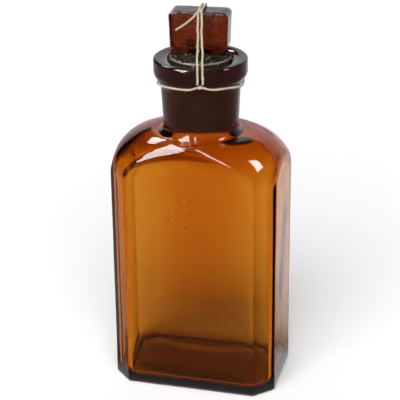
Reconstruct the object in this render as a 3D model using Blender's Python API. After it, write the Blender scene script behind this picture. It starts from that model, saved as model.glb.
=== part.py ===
"""Flat rectangular bottle of amber glass, closed by a ground stopper that is tied down with string.

Metres, Z up. The origin is the middle of the base, on the surface that the bottle stands on.
The wide faces look along Y, the narrow faces along X, and the bottle's axis is Z.
"""
import math

import bmesh
import bpy
from mathutils import Matrix, Vector

# Body: a rectangle with its four upright corners cut off
BODY_WIDTH = 0.0900
BODY_DEPTH = 0.0582
CORNER_CHAMFER = 0.0098
CORNER_RADIUS = 0.0022
INNER_CORNER_RADIUS = 0.0140
INNER_BACK_RADIUS = 0.0030
WALL = 0.0030

# Base: a narrow foot ring round a shallow push-up, and a rounded heel inside and out
HEEL_RADIUS = 0.0016
FOOT_RING_WIDTH = 0.0025
PUSH_UP = 0.0018
FLOOR_THICKNESS = 0.0030
INNER_HEEL_RADIUS = 0.0050

# Shoulder: a vault that springs from outside the walls, which cut it along arched creases
BODY_WALL_HEIGHT = 0.1100
SHOULDER_RISE = 0.0321
SIDE_SPREAD = 0.0066
FRONT_SPREAD = 0.0126
SHOULDER_WALL = 0.0050
CREASE_ROUNDING = 0.0026
INNER_CREASE_ROUNDING = 0.0050
VAULT_PLAN_POWER = 2.36
SIDE_RUN_POWER = 2.60
SIDE_RISE_POWER = 1.78
FRONT_RUN_POWER = 1.62
FRONT_RISE_POWER = 1.60

# Neck and lip
NECK_FILLET_RUN = 0.0030
NECK_FILLET_RISE = 0.0042
NECK_FOOT_RADIUS = 0.0199
NECK_TOP_RADIUS = 0.0209
NECK_LENGTH = 0.0215
LIP_OVERHANG = 0.0037
LIP_UNDERSIDE_HEIGHT = 0.0062
LIP_FACE_HEIGHT = 0.0080
LIP_EDGE_RADIUS = 0.0011
LIP_LOWER_ROUNDING = 0.0016

# Ground bore, which narrows downwards by this much radius for each length
BORE_MOUTH_RADIUS = 0.0163
BORE_TAPER_RATIO = 0.05
BORE_EDGE_BEVEL = 0.0004
BORE_FOOT_RISE = 0.0012
THROAT_RUN = 0.0036

# Stopper: a solid ground shank, a short stem and an upright tablet to hold it by
STOPPER_GAP = 0.0003
SHANK_STAND = 0.0010
SHANK_FOOT_CLEARANCE = 0.0020
SHANK_FOOT_BEVEL = 0.0008
SHANK_TOP_ROUNDING = 0.0009
STEM_HEIGHT = 0.0025
STEM_HALF_WIDTH = 0.0060
STEM_HALF_DEPTH = 0.0040
STEM_CORNER_RADIUS = 0.0030
TABLET_WIDTH = 0.0312
TABLET_THICKNESS = 0.0133
TABLET_HEIGHT = 0.0217
TABLET_FOOT_CHAMFER = 0.0030
TABLET_TOP_CHAMFER = 0.0019
TABLET_EDGE_RADIUS = 0.0007
TABLET_TAPER = 0.0006
STOPPER_TURN = math.radians(5.0)

# String: one loop round the neck under the lip, and two strands over the stopper
STRING_DIAMETER = 0.0012
STRING_GAP = 0.0003
FRONT_TURN = math.radians(14.0)
BACK_TURN = math.radians(177.0)
LOOP_STEP = 0.0028
LOOP_SIDE_LIFT = 0.0004
LOOP_KNOT_LIFT = 0.0040
LOOP_PEAK = 0.0020
LOOP_PEAK_SPREAD = math.radians(9.0)
NECK_KNOT_WIDTH = 0.0030
NECK_KNOT_HEIGHT = 0.0022
STRAND_STEP = 0.0028
STRAND_GAP_AT_LIP = 0.0027
STRAND_GAP_ON_TOP = 0.0016
TOP_KNOT_WIDTH = 0.0036
TOP_KNOT_HEIGHT = 0.0024
TAIL_REACH = 0.0165
TAIL_SHARES = ((0.09, 0.13), (0.24, 0.28), (0.45, 0.45), (0.70, 0.62))

# How finely the curved surfaces are cut into facets
FRONT_STEPS = 10
HEEL_STEPS = 4
WALL_STEPS = 4
CREASE_STEPS = 4
VAULT_STEPS = 9
FILLET_STEPS = 5
EDGE_STEPS = 3
TABLET_FACE_STEPS = 8
TABLET_SIDE_STEPS = 4
STRING_ROUND_STEPS = 2
KNOT_ROUND_STEPS = 2
CURVE_STEPS = 12
SEARCH_STEPS = 40
REST_STEPS = 16
MERGE_DISTANCE = 0.000001
CORNER_SHARES = (0.55, 1.4)
CAP_SHARES = (0.33, 0.7)
PUSH_UP_POWER = 4
FLOOR_POWER = 2
BOTTLE_SHARP_ANGLE = math.radians(40)
STOPPER_SHARP_ANGLE = math.radians(25)
STRING_SHARP_ANGLE = math.radians(60)

# Colours
AMBER = (0.50, 0.20, 0.03)
RED_BROWN = (0.28, 0.06, 0.02)
CREAM = (0.83, 0.76, 0.62)

# Heights and radii that follow from the sizes above
SHOULDER_TOP = BODY_WALL_HEIGHT + SHOULDER_RISE
NECK_FOOT = SHOULDER_TOP + NECK_FILLET_RISE
NECK_TOP = NECK_FOOT + NECK_LENGTH
LIP_FACE_FOOT = NECK_TOP + LIP_UNDERSIDE_HEIGHT
MOUTH = LIP_FACE_FOOT + LIP_FACE_HEIGHT
LIP_RADIUS = NECK_TOP_RADIUS + LIP_OVERHANG
BORE_FOOT = NECK_FOOT + BORE_FOOT_RISE
SHANK_FOOT = BORE_FOOT + SHANK_FOOT_CLEARANCE
SHANK_TOP = MOUTH + SHANK_STAND
TABLET_FOOT = SHANK_TOP + STEM_HEIGHT
TABLET_TOP = TABLET_FOOT + TABLET_HEIGHT
STRING_RADIUS = STRING_DIAMETER / 2
STRING_REACH = STRING_RADIUS + STRING_GAP

RIGHT_ANGLE = math.pi / 2
EIGHTH_TURN = math.pi / 4


def remove_everything():
    for thing in list(bpy.data.objects):
        bpy.data.objects.remove(thing, do_unlink=True)


def make_material(name, colour, roughness, transmission):
    material = bpy.data.materials.new(name)
    material.use_nodes = True
    shader = material.node_tree.nodes["Principled BSDF"]
    shader.inputs["Base Color"].default_value = (*colour, 1.0)
    shader.inputs["Roughness"].default_value = roughness
    shader.inputs["Metallic"].default_value = 0.0
    shader.inputs["Transmission Weight"].default_value = transmission
    material.diffuse_color = (*colour, 1.0)
    return material


def steps(count):
    """Shares from 0 to 1, both ends included."""
    return [step / count for step in range(count + 1)]


def mix(start, end, share):
    return start + (end - start) * share


# Plan of the body

def corner_power(reach, radius):
    """Power that rounds a 135 degree corner, this far from the axis, as that radius would."""
    cut = radius * (1 / math.cos(EIGHTH_TURN / 2) - 1)
    return reach * math.log(2) / cut


def wall_radius(angle, inset, corner_radius):
    """Distance from the axis to the chamfered rectangle in one direction."""
    across = abs(math.cos(angle))
    along = abs(math.sin(angle))
    half_width = BODY_WIDTH / 2 - inset
    half_depth = BODY_DEPTH / 2 - inset
    chamfer = (BODY_WIDTH / 2 + BODY_DEPTH / 2 - CORNER_CHAMFER) / math.sqrt(2) - inset
    power = corner_power(math.hypot(BODY_WIDTH, BODY_DEPTH) / 2, corner_radius)
    nearness = (across / half_width, along / half_depth, (across + along) / math.sqrt(2) / chamfer)
    largest = max(nearness)
    total = sum((value / largest) ** power for value in nearness)
    return total ** (-1 / power) / largest


def inner_radius(angle, inset):
    """Distance from the axis to the cavity's wall, whose corners are sharper at the back."""
    return wall_radius(angle, inset, INNER_BACK_RADIUS if math.sin(angle) > 0 else INNER_CORNER_RADIUS)


def body_angles():
    """Directions of the upright rows of points, set close together at the corners."""
    half_width = BODY_WIDTH / 2
    half_depth = BODY_DEPTH / 2
    corners = []
    for sign_x, sign_y in ((1, 1), (-1, 1), (-1, -1), (1, -1)):
        side_end = Vector((sign_x * half_width, sign_y * (half_depth - CORNER_CHAMFER)))
        front_end = Vector((sign_x * (half_width - CORNER_CHAMFER), sign_y * half_depth))
        corners += [side_end, front_end] if sign_x == sign_y else [front_end, side_end]
    spread = CORNER_RADIUS * math.tan(EIGHTH_TURN / 2)
    angles = []
    for index, start in enumerate(corners):
        end = corners[(index + 1) % len(corners)]
        length = (end - start).length
        direction = (end - start).normalized()
        facets = max(2, round(length * FRONT_STEPS / BODY_WIDTH))
        near_start = [spread * share for share in CORNER_SHARES]
        middle = [length * share for share in steps(facets)[1:-1]]
        near_end = [length - distance for distance in reversed(near_start)]
        for distance in [0] + near_start + middle + near_end:
            point = start + direction * distance
            angles.append(math.atan2(point.y, point.x) % (2 * math.pi))
    return sorted(angles)


# Shoulder vault, outside and inside

def vault(angle, inset):
    """Start radius, foot radius, top, foot height and the two powers of one upright section."""
    wall = WALL if inset else 0
    side = BODY_WIDTH / 2 + SIDE_SPREAD - wall
    front = BODY_DEPTH / 2 + FRONT_SPREAD - wall
    plan = abs(math.cos(angle) / side) ** VAULT_PLAN_POWER
    plan += abs(math.sin(angle) / front) ** VAULT_PLAN_POWER
    foot_radius = plan ** (-1 / VAULT_PLAN_POWER)
    start = NECK_FOOT_RADIUS + NECK_FILLET_RUN
    if inset:
        start = bore_radius(BORE_FOOT) + THROAT_RUN
    sideways = math.cos(angle) ** 2
    run_power = mix(FRONT_RUN_POWER, SIDE_RUN_POWER, sideways)
    rise_power = mix(FRONT_RISE_POWER, SIDE_RISE_POWER, sideways)
    return start, foot_radius, SHOULDER_TOP - inset, BODY_WALL_HEIGHT, run_power, rise_power


def vault_height(angle, radius, inset):
    start, foot_radius, top, foot, run_power, rise_power = vault(angle, inset)
    run = min(1.0, max(0.0, (radius - start) / (foot_radius - start)))
    return foot + (top - foot) * (1 - run ** run_power) ** (1 / rise_power)


def shoulder_section(angle, wall_inset, vault_inset, rounding):
    """Radius and height of points from the wall's top, over the crease, to the vault's start."""
    wall = inner_radius(angle, wall_inset) if wall_inset else wall_radius(angle, 0, CORNER_RADIUS)
    crease = vault_height(angle, wall, vault_inset)
    start = vault(angle, vault_inset)[0]
    low = (wall, crease - rounding)
    middle = (wall, crease)
    near = wall
    for trial in steps(SEARCH_STEPS):
        near = mix(wall, start, trial)
        rise = vault_height(angle, near, vault_inset) - crease
        if math.hypot(wall - near, rise) >= rounding:
            break
    high = (near, vault_height(angle, near, vault_inset))
    points = []
    for share in steps(CREASE_STEPS):
        rest = 1 - share
        weights = (rest * rest, 2 * rest * share, share * share)
        radius = sum(weight * point[0] for weight, point in zip(weights, (low, middle, high)))
        height = sum(weight * point[1] for weight, point in zip(weights, (low, middle, high)))
        points.append((radius, height))
    for share in steps(VAULT_STEPS)[1:]:
        radius = mix(near, start, share)
        points.append((radius, vault_height(angle, radius, vault_inset)))
    return points


# Neck, lip and bore, which are round

def bore_radius(height):
    return BORE_MOUTH_RADIUS - BORE_TAPER_RATIO * (MOUTH - height)


def arc(centre, size, start, end, count):
    """Points of an ellipse's arc about a centre, given as radius and height."""
    points = []
    for share in steps(count):
        angle = mix(start, end, share)
        points.append((centre[0] + size[0] * math.cos(angle), centre[1] + size[1] * math.sin(angle)))
    return points


def rounded_corner(before, corner, after, size, count):
    """A corner of the profile, rounded off over one length on both sides."""
    corner = Vector(corner)
    start = corner + (Vector(before) - corner).normalized() * size
    end = corner + (Vector(after) - corner).normalized() * size
    points = []
    for share in steps(count):
        points.append(tuple(start.lerp(corner, share).lerp(corner.lerp(end, share), share)))
    return points


def neck_profile():
    """Outer profile from the top of the shoulder's vault up to the edge of the mouth."""
    fillet_centre = (NECK_FOOT_RADIUS + NECK_FILLET_RUN, NECK_FOOT)
    fillet = arc(fillet_centre, (NECK_FILLET_RUN, NECK_FILLET_RISE),
                 -RIGHT_ANGLE, -2 * RIGHT_ANGLE, FILLET_STEPS)
    neck_top = (NECK_TOP_RADIUS, NECK_TOP)
    lip_foot = (LIP_RADIUS, LIP_FACE_FOOT)
    under = rounded_corner(fillet[-1], neck_top, lip_foot, LIP_EDGE_RADIUS, EDGE_STEPS)
    lower = rounded_corner(neck_top, lip_foot, (LIP_RADIUS, MOUTH), LIP_LOWER_ROUNDING, EDGE_STEPS)
    edge_centre = (LIP_RADIUS - LIP_EDGE_RADIUS, MOUTH - LIP_EDGE_RADIUS)
    edge = arc(edge_centre, (LIP_EDGE_RADIUS, LIP_EDGE_RADIUS), 0, RIGHT_ANGLE, EDGE_STEPS)
    return fillet[1:] + under + lower + edge


def bore_profile():
    """Inner profile from the flat of the lip down the ground bore and out through the throat."""
    bevelled = MOUTH - BORE_EDGE_BEVEL
    mouth = [(BORE_MOUTH_RADIUS + BORE_EDGE_BEVEL, MOUTH), (bore_radius(bevelled), bevelled)]
    foot = bore_radius(BORE_FOOT)
    inner_top = SHOULDER_TOP - SHOULDER_WALL
    throat = arc((foot + THROAT_RUN, BORE_FOOT), (THROAT_RUN, BORE_FOOT - inner_top),
                 2 * RIGHT_ANGLE, 3 * RIGHT_ANGLE, FILLET_STEPS)
    return mouth + throat[:-1]


def base_section(angle):
    """From the middle of the push-up out to the top of the heel."""
    ring_outer = wall_radius(angle, HEEL_RADIUS, CORNER_RADIUS)
    ring_inner = wall_radius(angle, HEEL_RADIUS + FOOT_RING_WIDTH, CORNER_RADIUS)
    points = []
    for share in CAP_SHARES:
        points.append((ring_inner * share, PUSH_UP * (1 - share ** PUSH_UP_POWER)))
    points += [(ring_inner, 0), (ring_outer, 0)]
    for share in steps(HEEL_STEPS)[1:]:
        turn = share * RIGHT_ANGLE
        radius = wall_radius(angle, HEEL_RADIUS * (1 - math.sin(turn)), CORNER_RADIUS)
        points.append((radius, HEEL_RADIUS * (1 - math.cos(turn))))
    return points


def floor_section(angle):
    """From the top of the inner heel down and in to the middle of the floor."""
    points = []
    for share in steps(HEEL_STEPS + 1):
        turn = share * RIGHT_ANGLE
        radius = inner_radius(angle, WALL + INNER_HEEL_RADIUS * (1 - math.cos(turn)))
        points.append((radius, FLOOR_THICKNESS + INNER_HEEL_RADIUS * (1 - math.sin(turn))))
    edge = points[-1][0]
    for share in reversed(CAP_SHARES):
        points.append((edge * share, FLOOR_THICKNESS + PUSH_UP * (1 - share ** FLOOR_POWER)))
    return points


def bottle_section(angle):
    """One upright half section, from the middle of the base round to the middle of the floor."""
    section = base_section(angle)
    outside = shoulder_section(angle, 0, 0, CREASE_ROUNDING)
    bottom = section[-1]
    top = outside[0]
    for share in steps(WALL_STEPS)[1:-1]:
        section.append((mix(bottom[0], top[0], share), mix(bottom[1], top[1], share)))
    section += outside + neck_profile() + bore_profile()
    inside = shoulder_section(angle, WALL, SHOULDER_WALL, INNER_CREASE_ROUNDING)[::-1]
    section += inside
    floor = floor_section(angle)
    top = inside[-1]
    bottom = floor[0]
    for share in steps(WALL_STEPS)[1:-1]:
        section.append((mix(top[0], bottom[0], share), mix(top[1], bottom[1], share)))
    return section + floor


def finish_mesh(name, mesh_data, material, sharp_angle):
    mesh = bpy.data.meshes.new(name)
    bmesh.ops.recalc_face_normals(mesh_data, faces=mesh_data.faces[:])
    mesh_data.to_mesh(mesh)
    mesh_data.free()
    mesh.materials.append(material)
    mesh.shade_smooth()
    mesh.set_sharp_from_angle(angle=sharp_angle)
    thing = bpy.data.objects.new(name, mesh)
    bpy.context.scene.collection.objects.link(thing)
    return thing


def skin_rings(mesh_data, rings, bottom, top):
    """Faces between closed rings of points, with one point that closes each end."""
    rows = [[mesh_data.verts.new(point) for point in ring] for ring in rings]
    count = len(rows[0])
    for lower, upper in zip(rows, rows[1:]):
        for index in range(count):
            follow = (index + 1) % count
            mesh_data.faces.new((lower[index], lower[follow], upper[follow], upper[index]))
    for ring, point in ((rows[0], bottom), (rows[-1], top)):
        tip = mesh_data.verts.new(point)
        for index in range(count):
            mesh_data.faces.new((ring[index], ring[(index + 1) % count], tip))


def make_bottle(material):
    angles = body_angles()
    sections = [bottle_section(angle) for angle in angles]
    rings = []
    for row in range(len(sections[0])):
        ring = []
        for angle, section in zip(angles, sections):
            radius, height = section[row]
            ring.append((radius * math.cos(angle), radius * math.sin(angle), height))
        rings.append(ring)
    mesh_data = bmesh.new()
    skin_rings(mesh_data, rings, (0, 0, PUSH_UP), (0, 0, FLOOR_THICKNESS + PUSH_UP))
    return finish_mesh("bottle", mesh_data, material, BOTTLE_SHARP_ANGLE)


# Stopper

def tablet_outline(half_width, half_depth, radius):
    """A rectangle with rounded corners, as points in a fixed order and number."""
    points = []
    for sign_x, sign_y, start in ((1, 1, 0), (-1, 1, 1), (-1, -1, 2), (1, -1, 3)):
        centre = Vector((sign_x * (half_width - radius), sign_y * (half_depth - radius)))
        for share in steps(EDGE_STEPS):
            angle = (start + share) * RIGHT_ANGLE
            points.append(centre + Vector((math.cos(angle), math.sin(angle))) * radius)
        next_x, next_y = ((-1, 1), (-1, -1), (1, -1), (1, 1))[start]
        angle = (start + 1) * RIGHT_ANGLE
        other = Vector((next_x * (half_width - radius), next_y * (half_depth - radius)))
        other += Vector((math.cos(angle), math.sin(angle))) * radius
        count = TABLET_SIDE_STEPS if start % 2 else TABLET_FACE_STEPS
        last = points[-1].copy()
        for share in steps(count)[1:-1]:
            points.append(last.lerp(other, share))
    return points


def round_outline(radius):
    """A circle with as many points as the tablet's outline, in the same order."""
    count = len(tablet_outline(TABLET_WIDTH, TABLET_THICKNESS, TABLET_EDGE_RADIUS))
    turn = 2 * math.pi / count
    first = -EDGE_STEPS * turn / 2 + math.atan2(TABLET_THICKNESS, TABLET_WIDTH)
    return [Vector((math.cos(first + turn * step), math.sin(first + turn * step))) * radius
            for step in range(count)]


def make_stopper(material):
    half_width = TABLET_WIDTH / 2
    half_depth = TABLET_THICKNESS / 2
    edge = TABLET_EDGE_RADIUS
    rings = []

    def add_ring(outline, height):
        rings.append([(point.x, point.y, height - MOUTH) for point in outline])

    def shank_radius(height):
        return bore_radius(height) - STOPPER_GAP

    foot = shank_radius(SHANK_FOOT)
    add_ring(round_outline(foot - SHANK_FOOT_BEVEL), SHANK_FOOT)
    for share in steps(WALL_STEPS):
        height = mix(SHANK_FOOT + SHANK_FOOT_BEVEL, SHANK_TOP - SHANK_TOP_ROUNDING, share)
        add_ring(round_outline(shank_radius(height)), height)
    top = shank_radius(SHANK_TOP - SHANK_TOP_ROUNDING)
    rounding = (top - SHANK_TOP_ROUNDING, SHANK_TOP - SHANK_TOP_ROUNDING)
    corner = arc(rounding, (SHANK_TOP_ROUNDING, SHANK_TOP_ROUNDING), 0, RIGHT_ANGLE, EDGE_STEPS)
    for radius, height in corner[1:]:
        add_ring(round_outline(radius), height)
    stem = tablet_outline(STEM_HALF_WIDTH, STEM_HALF_DEPTH, STEM_CORNER_RADIUS)
    add_ring(stem, SHANK_TOP)
    add_ring(stem, TABLET_FOOT)
    foot_width = half_width - TABLET_TAPER - TABLET_FOOT_CHAMFER
    stem_top = tablet_outline(foot_width - edge, half_depth - edge, edge)
    add_ring(stem_top, TABLET_FOOT)
    side = [(foot_width, TABLET_FOOT + edge / 2),
            (half_width - TABLET_TAPER, TABLET_FOOT + TABLET_FOOT_CHAMFER),
            (half_width, TABLET_TOP - TABLET_TOP_CHAMFER),
            (half_width - TABLET_TOP_CHAMFER + edge / 2, TABLET_TOP - edge / 2)]
    for reach, height in side:
        add_ring(tablet_outline(reach, half_depth, edge), height)
    crown = tablet_outline(half_width - TABLET_TOP_CHAMFER - edge, half_depth - edge / 2, edge)
    add_ring(crown, TABLET_TOP)
    mesh_data = bmesh.new()
    skin_rings(mesh_data, rings, (0, 0, SHANK_FOOT - MOUTH), (0, 0, TABLET_TOP - MOUTH))
    stopper = finish_mesh("stopper", mesh_data, material, STOPPER_SHARP_ANGLE)
    stopper.location = (0, 0, MOUTH)
    stopper.rotation_euler = (0, 0, STOPPER_TURN)
    return stopper


# String

def outer_radius(height):
    """Radius of the neck and lip at one height."""
    profile = [(NECK_FOOT_RADIUS + NECK_FILLET_RUN, SHOULDER_TOP)] + neck_profile()
    for (low_radius, low), (high_radius, high) in zip(profile, profile[1:]):
        if low <= height <= high and high > low:
            return mix(low_radius, high_radius, (height - low) / (high - low))
    return profile[-1][0] if height > MOUTH - LIP_EDGE_RADIUS else profile[0][0]


def resting_radius(height):
    """How far out a string's middle lies when it rests on the neck or the lip at this height."""
    reaches = []
    for share in steps(REST_STEPS):
        offset = STRING_REACH * (2 * share - 1)
        if height + offset <= MOUTH:
            reaches.append(outer_radius(height + offset) + math.sqrt(STRING_REACH ** 2 - offset ** 2))
    return max(reaches)


def around(turn, radius, height):
    """A point at this distance from the axis, with its turn counted from the front, -Y."""
    return Vector((radius * math.sin(turn), -radius * math.cos(turn), height))


def beside(turn, radius, sideways, height):
    """The same point, moved along the circle's tangent."""
    tangent = Vector((math.cos(turn), math.sin(turn), 0))
    return around(turn, radius, height) + tangent * sideways


def make_tube(name, points, closed, material):
    """A round string along its points, as a curve with filled ends."""
    curve = bpy.data.curves.new(name, "CURVE")
    curve.dimensions = "3D"
    curve.bevel_depth = STRING_RADIUS
    curve.bevel_resolution = STRING_ROUND_STEPS
    curve.use_fill_caps = not closed
    spline = curve.splines.new("POLY")
    spline.points.add(len(points) - 1)
    for spot, point in zip(spline.points, points):
        spot.co = (*point, 1)
    spline.use_cyclic_u = closed
    thing = bpy.data.objects.new(name, curve)
    bpy.context.scene.collection.objects.link(thing)
    thing.data.materials.append(material)
    return thing


def tube_as_mesh(name, points, closed, material):
    """The same string as a mesh, so that knots can be joined to it."""
    tube = make_tube(name + "_route", points, closed, material)
    bpy.context.view_layer.update()
    evaluated = tube.evaluated_get(bpy.context.evaluated_depsgraph_get())
    mesh = bpy.data.meshes.new_from_object(evaluated)
    bpy.data.objects.remove(tube, do_unlink=True)
    mesh_data = bmesh.new()
    mesh_data.from_mesh(mesh)
    bmesh.ops.remove_doubles(mesh_data, verts=mesh_data.verts[:], dist=MERGE_DISTANCE)
    return finish_mesh(name, mesh_data, material, STRING_SHARP_ANGLE)


def smooth_route(points, spacing):
    """Points at an even spacing on a smooth curve through the route's own points."""
    line = []
    last = len(points) - 1
    for index in range(last):
        before = points[max(0, index - 1)]
        start = points[index]
        end = points[index + 1]
        after = points[min(last, index + 2)]
        for share in steps(CURVE_STEPS)[:-1]:
            square = share * share
            cube = square * share
            line.append(start * (2 * cube - 3 * square + 1) + end * (3 * square - 2 * cube)
                        + (end - before) * ((cube - 2 * square + share) / 2)
                        + (after - start) * ((cube - square) / 2))
    line.append(points[-1])
    lengths = [(end - start).length for start, end in zip(line, line[1:])]
    count = max(2, round(sum(lengths) / spacing))
    target = sum(lengths) / count
    route = [line[0]]
    travelled = 0
    for start, end, length in zip(line, line[1:], lengths):
        while travelled + length >= target * len(route) and len(route) < count:
            route.append(start.lerp(end, (target * len(route) - travelled) / length))
        travelled += length
    route.append(line[-1])
    return route


def make_knot(name, place, size, turn, material):
    """A rounded lump of string, turned to face outwards."""
    mesh_data = bmesh.new()
    bmesh.ops.create_icosphere(mesh_data, subdivisions=KNOT_ROUND_STEPS, radius=1)
    shape = Matrix.Translation(place) @ Matrix.Rotation(turn, 4, "Z") @ Matrix.Diagonal((*size, 1))
    bmesh.ops.transform(mesh_data, matrix=shape, verts=mesh_data.verts[:])
    knot = finish_mesh(name, mesh_data, material, STRING_SHARP_ANGLE)
    knot.hide_render = True
    knot.display_type = "WIRE"
    return knot


def join_to(thing, other):
    other.hide_render = True
    other.display_type = "WIRE"
    union = thing.modifiers.new("join_" + other.name, "BOOLEAN")
    union.operation = "UNION"
    union.solver = "EXACT"
    union.object = other


def loop_height(turn):
    """The loop lies lowest at its sides and is drawn up towards its front and back knots."""
    from_front = (turn - FRONT_TURN) % (2 * math.pi)
    span = (BACK_TURN - FRONT_TURN) % (2 * math.pi)
    share = from_front / span
    if from_front > span:
        share = (2 * math.pi - from_front) / (2 * math.pi - span)
    pull = abs(math.cos(share * math.pi))
    lift = mix(LOOP_SIDE_LIFT, LOOP_KNOT_LIFT, pull * pull * (3 - 2 * pull))
    nearest = min(from_front, 2 * math.pi - from_front, abs(from_front - span))
    return NECK_TOP + lift + LOOP_PEAK * math.exp(-(nearest / LOOP_PEAK_SPREAD) ** 2)


def make_neck_string(material):
    """The closed loop under the lip, with the knots that held the strands, front and back."""
    count = round(2 * math.pi * NECK_TOP_RADIUS / LOOP_STEP)
    points = []
    for step in range(count):
        turn = FRONT_TURN + 2 * math.pi * step / count
        height = loop_height(turn)
        points.append(around(turn, resting_radius(height), height))
    loop = tube_as_mesh("neck_string", points, True, material)
    depth = NECK_KNOT_HEIGHT / 2
    for name, turn in (("front_knot", FRONT_TURN), ("back_knot", BACK_TURN)):
        height = loop_height(turn)
        place = around(turn, resting_radius(height) + depth - STRING_RADIUS, height)
        size = (NECK_KNOT_WIDTH / 2, depth, NECK_KNOT_HEIGHT / 2)
        join_to(loop, make_knot(name, place, size, turn, material))
    return loop


def tablet_reach(turn):
    """How far out a string's middle lies where it hangs against the tablet's face."""
    return (TABLET_THICKNESS / 2 + STRING_REACH) / abs(math.cos(turn - STOPPER_TURN))


def strand_half(turn, side):
    """One strand on one side, from above the neck knot up to the tablet's top."""
    foot = loop_height(turn) + NECK_KNOT_HEIGHT / 2 + STRING_GAP
    lip = LIP_RADIUS + STRING_REACH
    face = tablet_reach(turn)
    crown = TABLET_TOP + STRING_REACH
    wide = side * STRAND_GAP_AT_LIP / 2
    close = side * STRAND_GAP_ON_TOP / 2
    rim = MOUTH - LIP_EDGE_RADIUS
    spots = [(lip, wide, foot), (lip, wide, (foot + rim) / 2), (lip, wide, rim),
             (lip - STRING_RADIUS / 2, wide, MOUTH + STRING_RADIUS / 2),
             ((lip + face) / 2, (wide + close) / 2, (MOUTH + crown) / 2),
             (face, close, crown - STRING_DIAMETER), (face - STRING_RADIUS, close, crown)]
    return [beside(turn, *spot) for spot in spots]


def strand_points(side):
    """One strand, from the front knot over the tablet to the back knot."""
    front = strand_half(FRONT_TURN, side)
    back = strand_half(BACK_TURN, -side)
    return smooth_route(front + back[::-1], STRAND_STEP)


def make_tie_string(material):
    """The two strands over the stopper, the knot on its front edge and the knot's loose end."""
    left = tube_as_mesh("tie_string", strand_points(-1), False, material)
    right = tube_as_mesh("right_strand", strand_points(1), False, material)
    join_to(left, right)
    crown = TABLET_TOP + STRING_REACH
    place = around(FRONT_TURN, tablet_reach(FRONT_TURN) - STRING_RADIUS, crown + STRING_RADIUS / 2)
    size = (TOP_KNOT_WIDTH / 2, TOP_KNOT_HEIGHT / 2, TOP_KNOT_HEIGHT / 2)
    knot = make_knot("top_knot", place, size, FRONT_TURN, material)
    join_to(left, knot)
    hanging = TABLET_THICKNESS / 2 + STRING_REACH
    sideways = Vector((math.cos(STOPPER_TURN), math.sin(STOPPER_TURN), 0))
    tail = [place, place - sideways * STRING_RADIUS]
    for over, down in TAIL_SHARES:
        spot = beside(STOPPER_TURN, hanging, -TAIL_REACH * over, crown - TAIL_REACH * down)
        tail.append(spot)
    loose_end = tube_as_mesh("loose_end", smooth_route(tail, STRAND_STEP), False, material)
    join_to(left, loose_end)
    return left


def main():
    remove_everything()
    make_bottle(make_material("bottle_glass", AMBER, 0.05, 0.9))
    make_stopper(make_material("stopper_glass", RED_BROWN, 0.12, 0.6))
    make_neck_string(make_material("neck_string_cotton", CREAM, 0.85, 0.0))
    make_tie_string(make_material("tie_string_cotton", CREAM, 0.85, 0.0))


main()
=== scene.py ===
"""Looks of the amber bottle: fine glass, ground joint, crust round the stopper and twisted string.

Metres and radians, Z up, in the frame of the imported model. Directions in the studio are in degrees.
"""
from math import atan2, cos, exp, hypot, log, pi, radians, sin, sqrt, tan

import bpy
import numpy as np
from mathutils import Matrix, Vector, noise


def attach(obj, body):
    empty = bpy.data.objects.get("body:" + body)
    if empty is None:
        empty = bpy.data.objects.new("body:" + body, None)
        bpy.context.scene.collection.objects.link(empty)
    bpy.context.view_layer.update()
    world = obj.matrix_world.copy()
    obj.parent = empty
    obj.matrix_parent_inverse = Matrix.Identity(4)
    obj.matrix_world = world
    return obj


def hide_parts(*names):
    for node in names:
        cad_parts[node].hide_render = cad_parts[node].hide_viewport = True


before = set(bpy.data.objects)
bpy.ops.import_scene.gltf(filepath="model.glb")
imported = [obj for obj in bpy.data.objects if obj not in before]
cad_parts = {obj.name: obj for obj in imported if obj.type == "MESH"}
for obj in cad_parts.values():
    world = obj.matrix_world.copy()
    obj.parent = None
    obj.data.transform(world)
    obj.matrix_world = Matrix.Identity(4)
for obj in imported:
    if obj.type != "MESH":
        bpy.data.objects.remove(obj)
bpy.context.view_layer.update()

# Sizes of the bottle, as in the model
BODY_WIDTH = 0.0900
BODY_DEPTH = 0.0582
CORNER_CHAMFER = 0.0098
CORNER_RADIUS = 0.0022
INNER_CORNER_RADIUS = 0.0140
INNER_BACK_RADIUS = 0.0030
WALL = 0.0030
HEEL_RADIUS = 0.0016
FOOT_RING_WIDTH = 0.0025
PUSH_UP = 0.0018
FLOOR_THICKNESS = 0.0030
INNER_HEEL_RADIUS = 0.0050
BODY_WALL_HEIGHT = 0.1100
SHOULDER_RISE = 0.0321
SIDE_SPREAD = 0.0066
FRONT_SPREAD = 0.0126
SHOULDER_WALL = 0.0050
CREASE_ROUNDING = 0.0026
INNER_CREASE_ROUNDING = 0.0050
VAULT_PLAN_POWER = 2.36
SIDE_RUN_POWER = 2.60
SIDE_RISE_POWER = 1.78
FRONT_RUN_POWER = 1.62
FRONT_RISE_POWER = 1.60
NECK_FILLET_RUN = 0.0030
NECK_FILLET_RISE = 0.0042
NECK_FOOT_RADIUS = 0.0199
NECK_TOP_RADIUS = 0.0209
NECK_LENGTH = 0.0215
LIP_OVERHANG = 0.0037
LIP_UNDERSIDE_HEIGHT = 0.0062
LIP_FACE_HEIGHT = 0.0080
LIP_EDGE_RADIUS = 0.0011
LIP_LOWER_ROUNDING = 0.0016
BORE_MOUTH_RADIUS = 0.0163
BORE_TAPER = 0.05
BORE_EDGE_BEVEL = 0.0004
BORE_FOOT_RISE = 0.0012
THROAT_RUN = 0.0036

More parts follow.
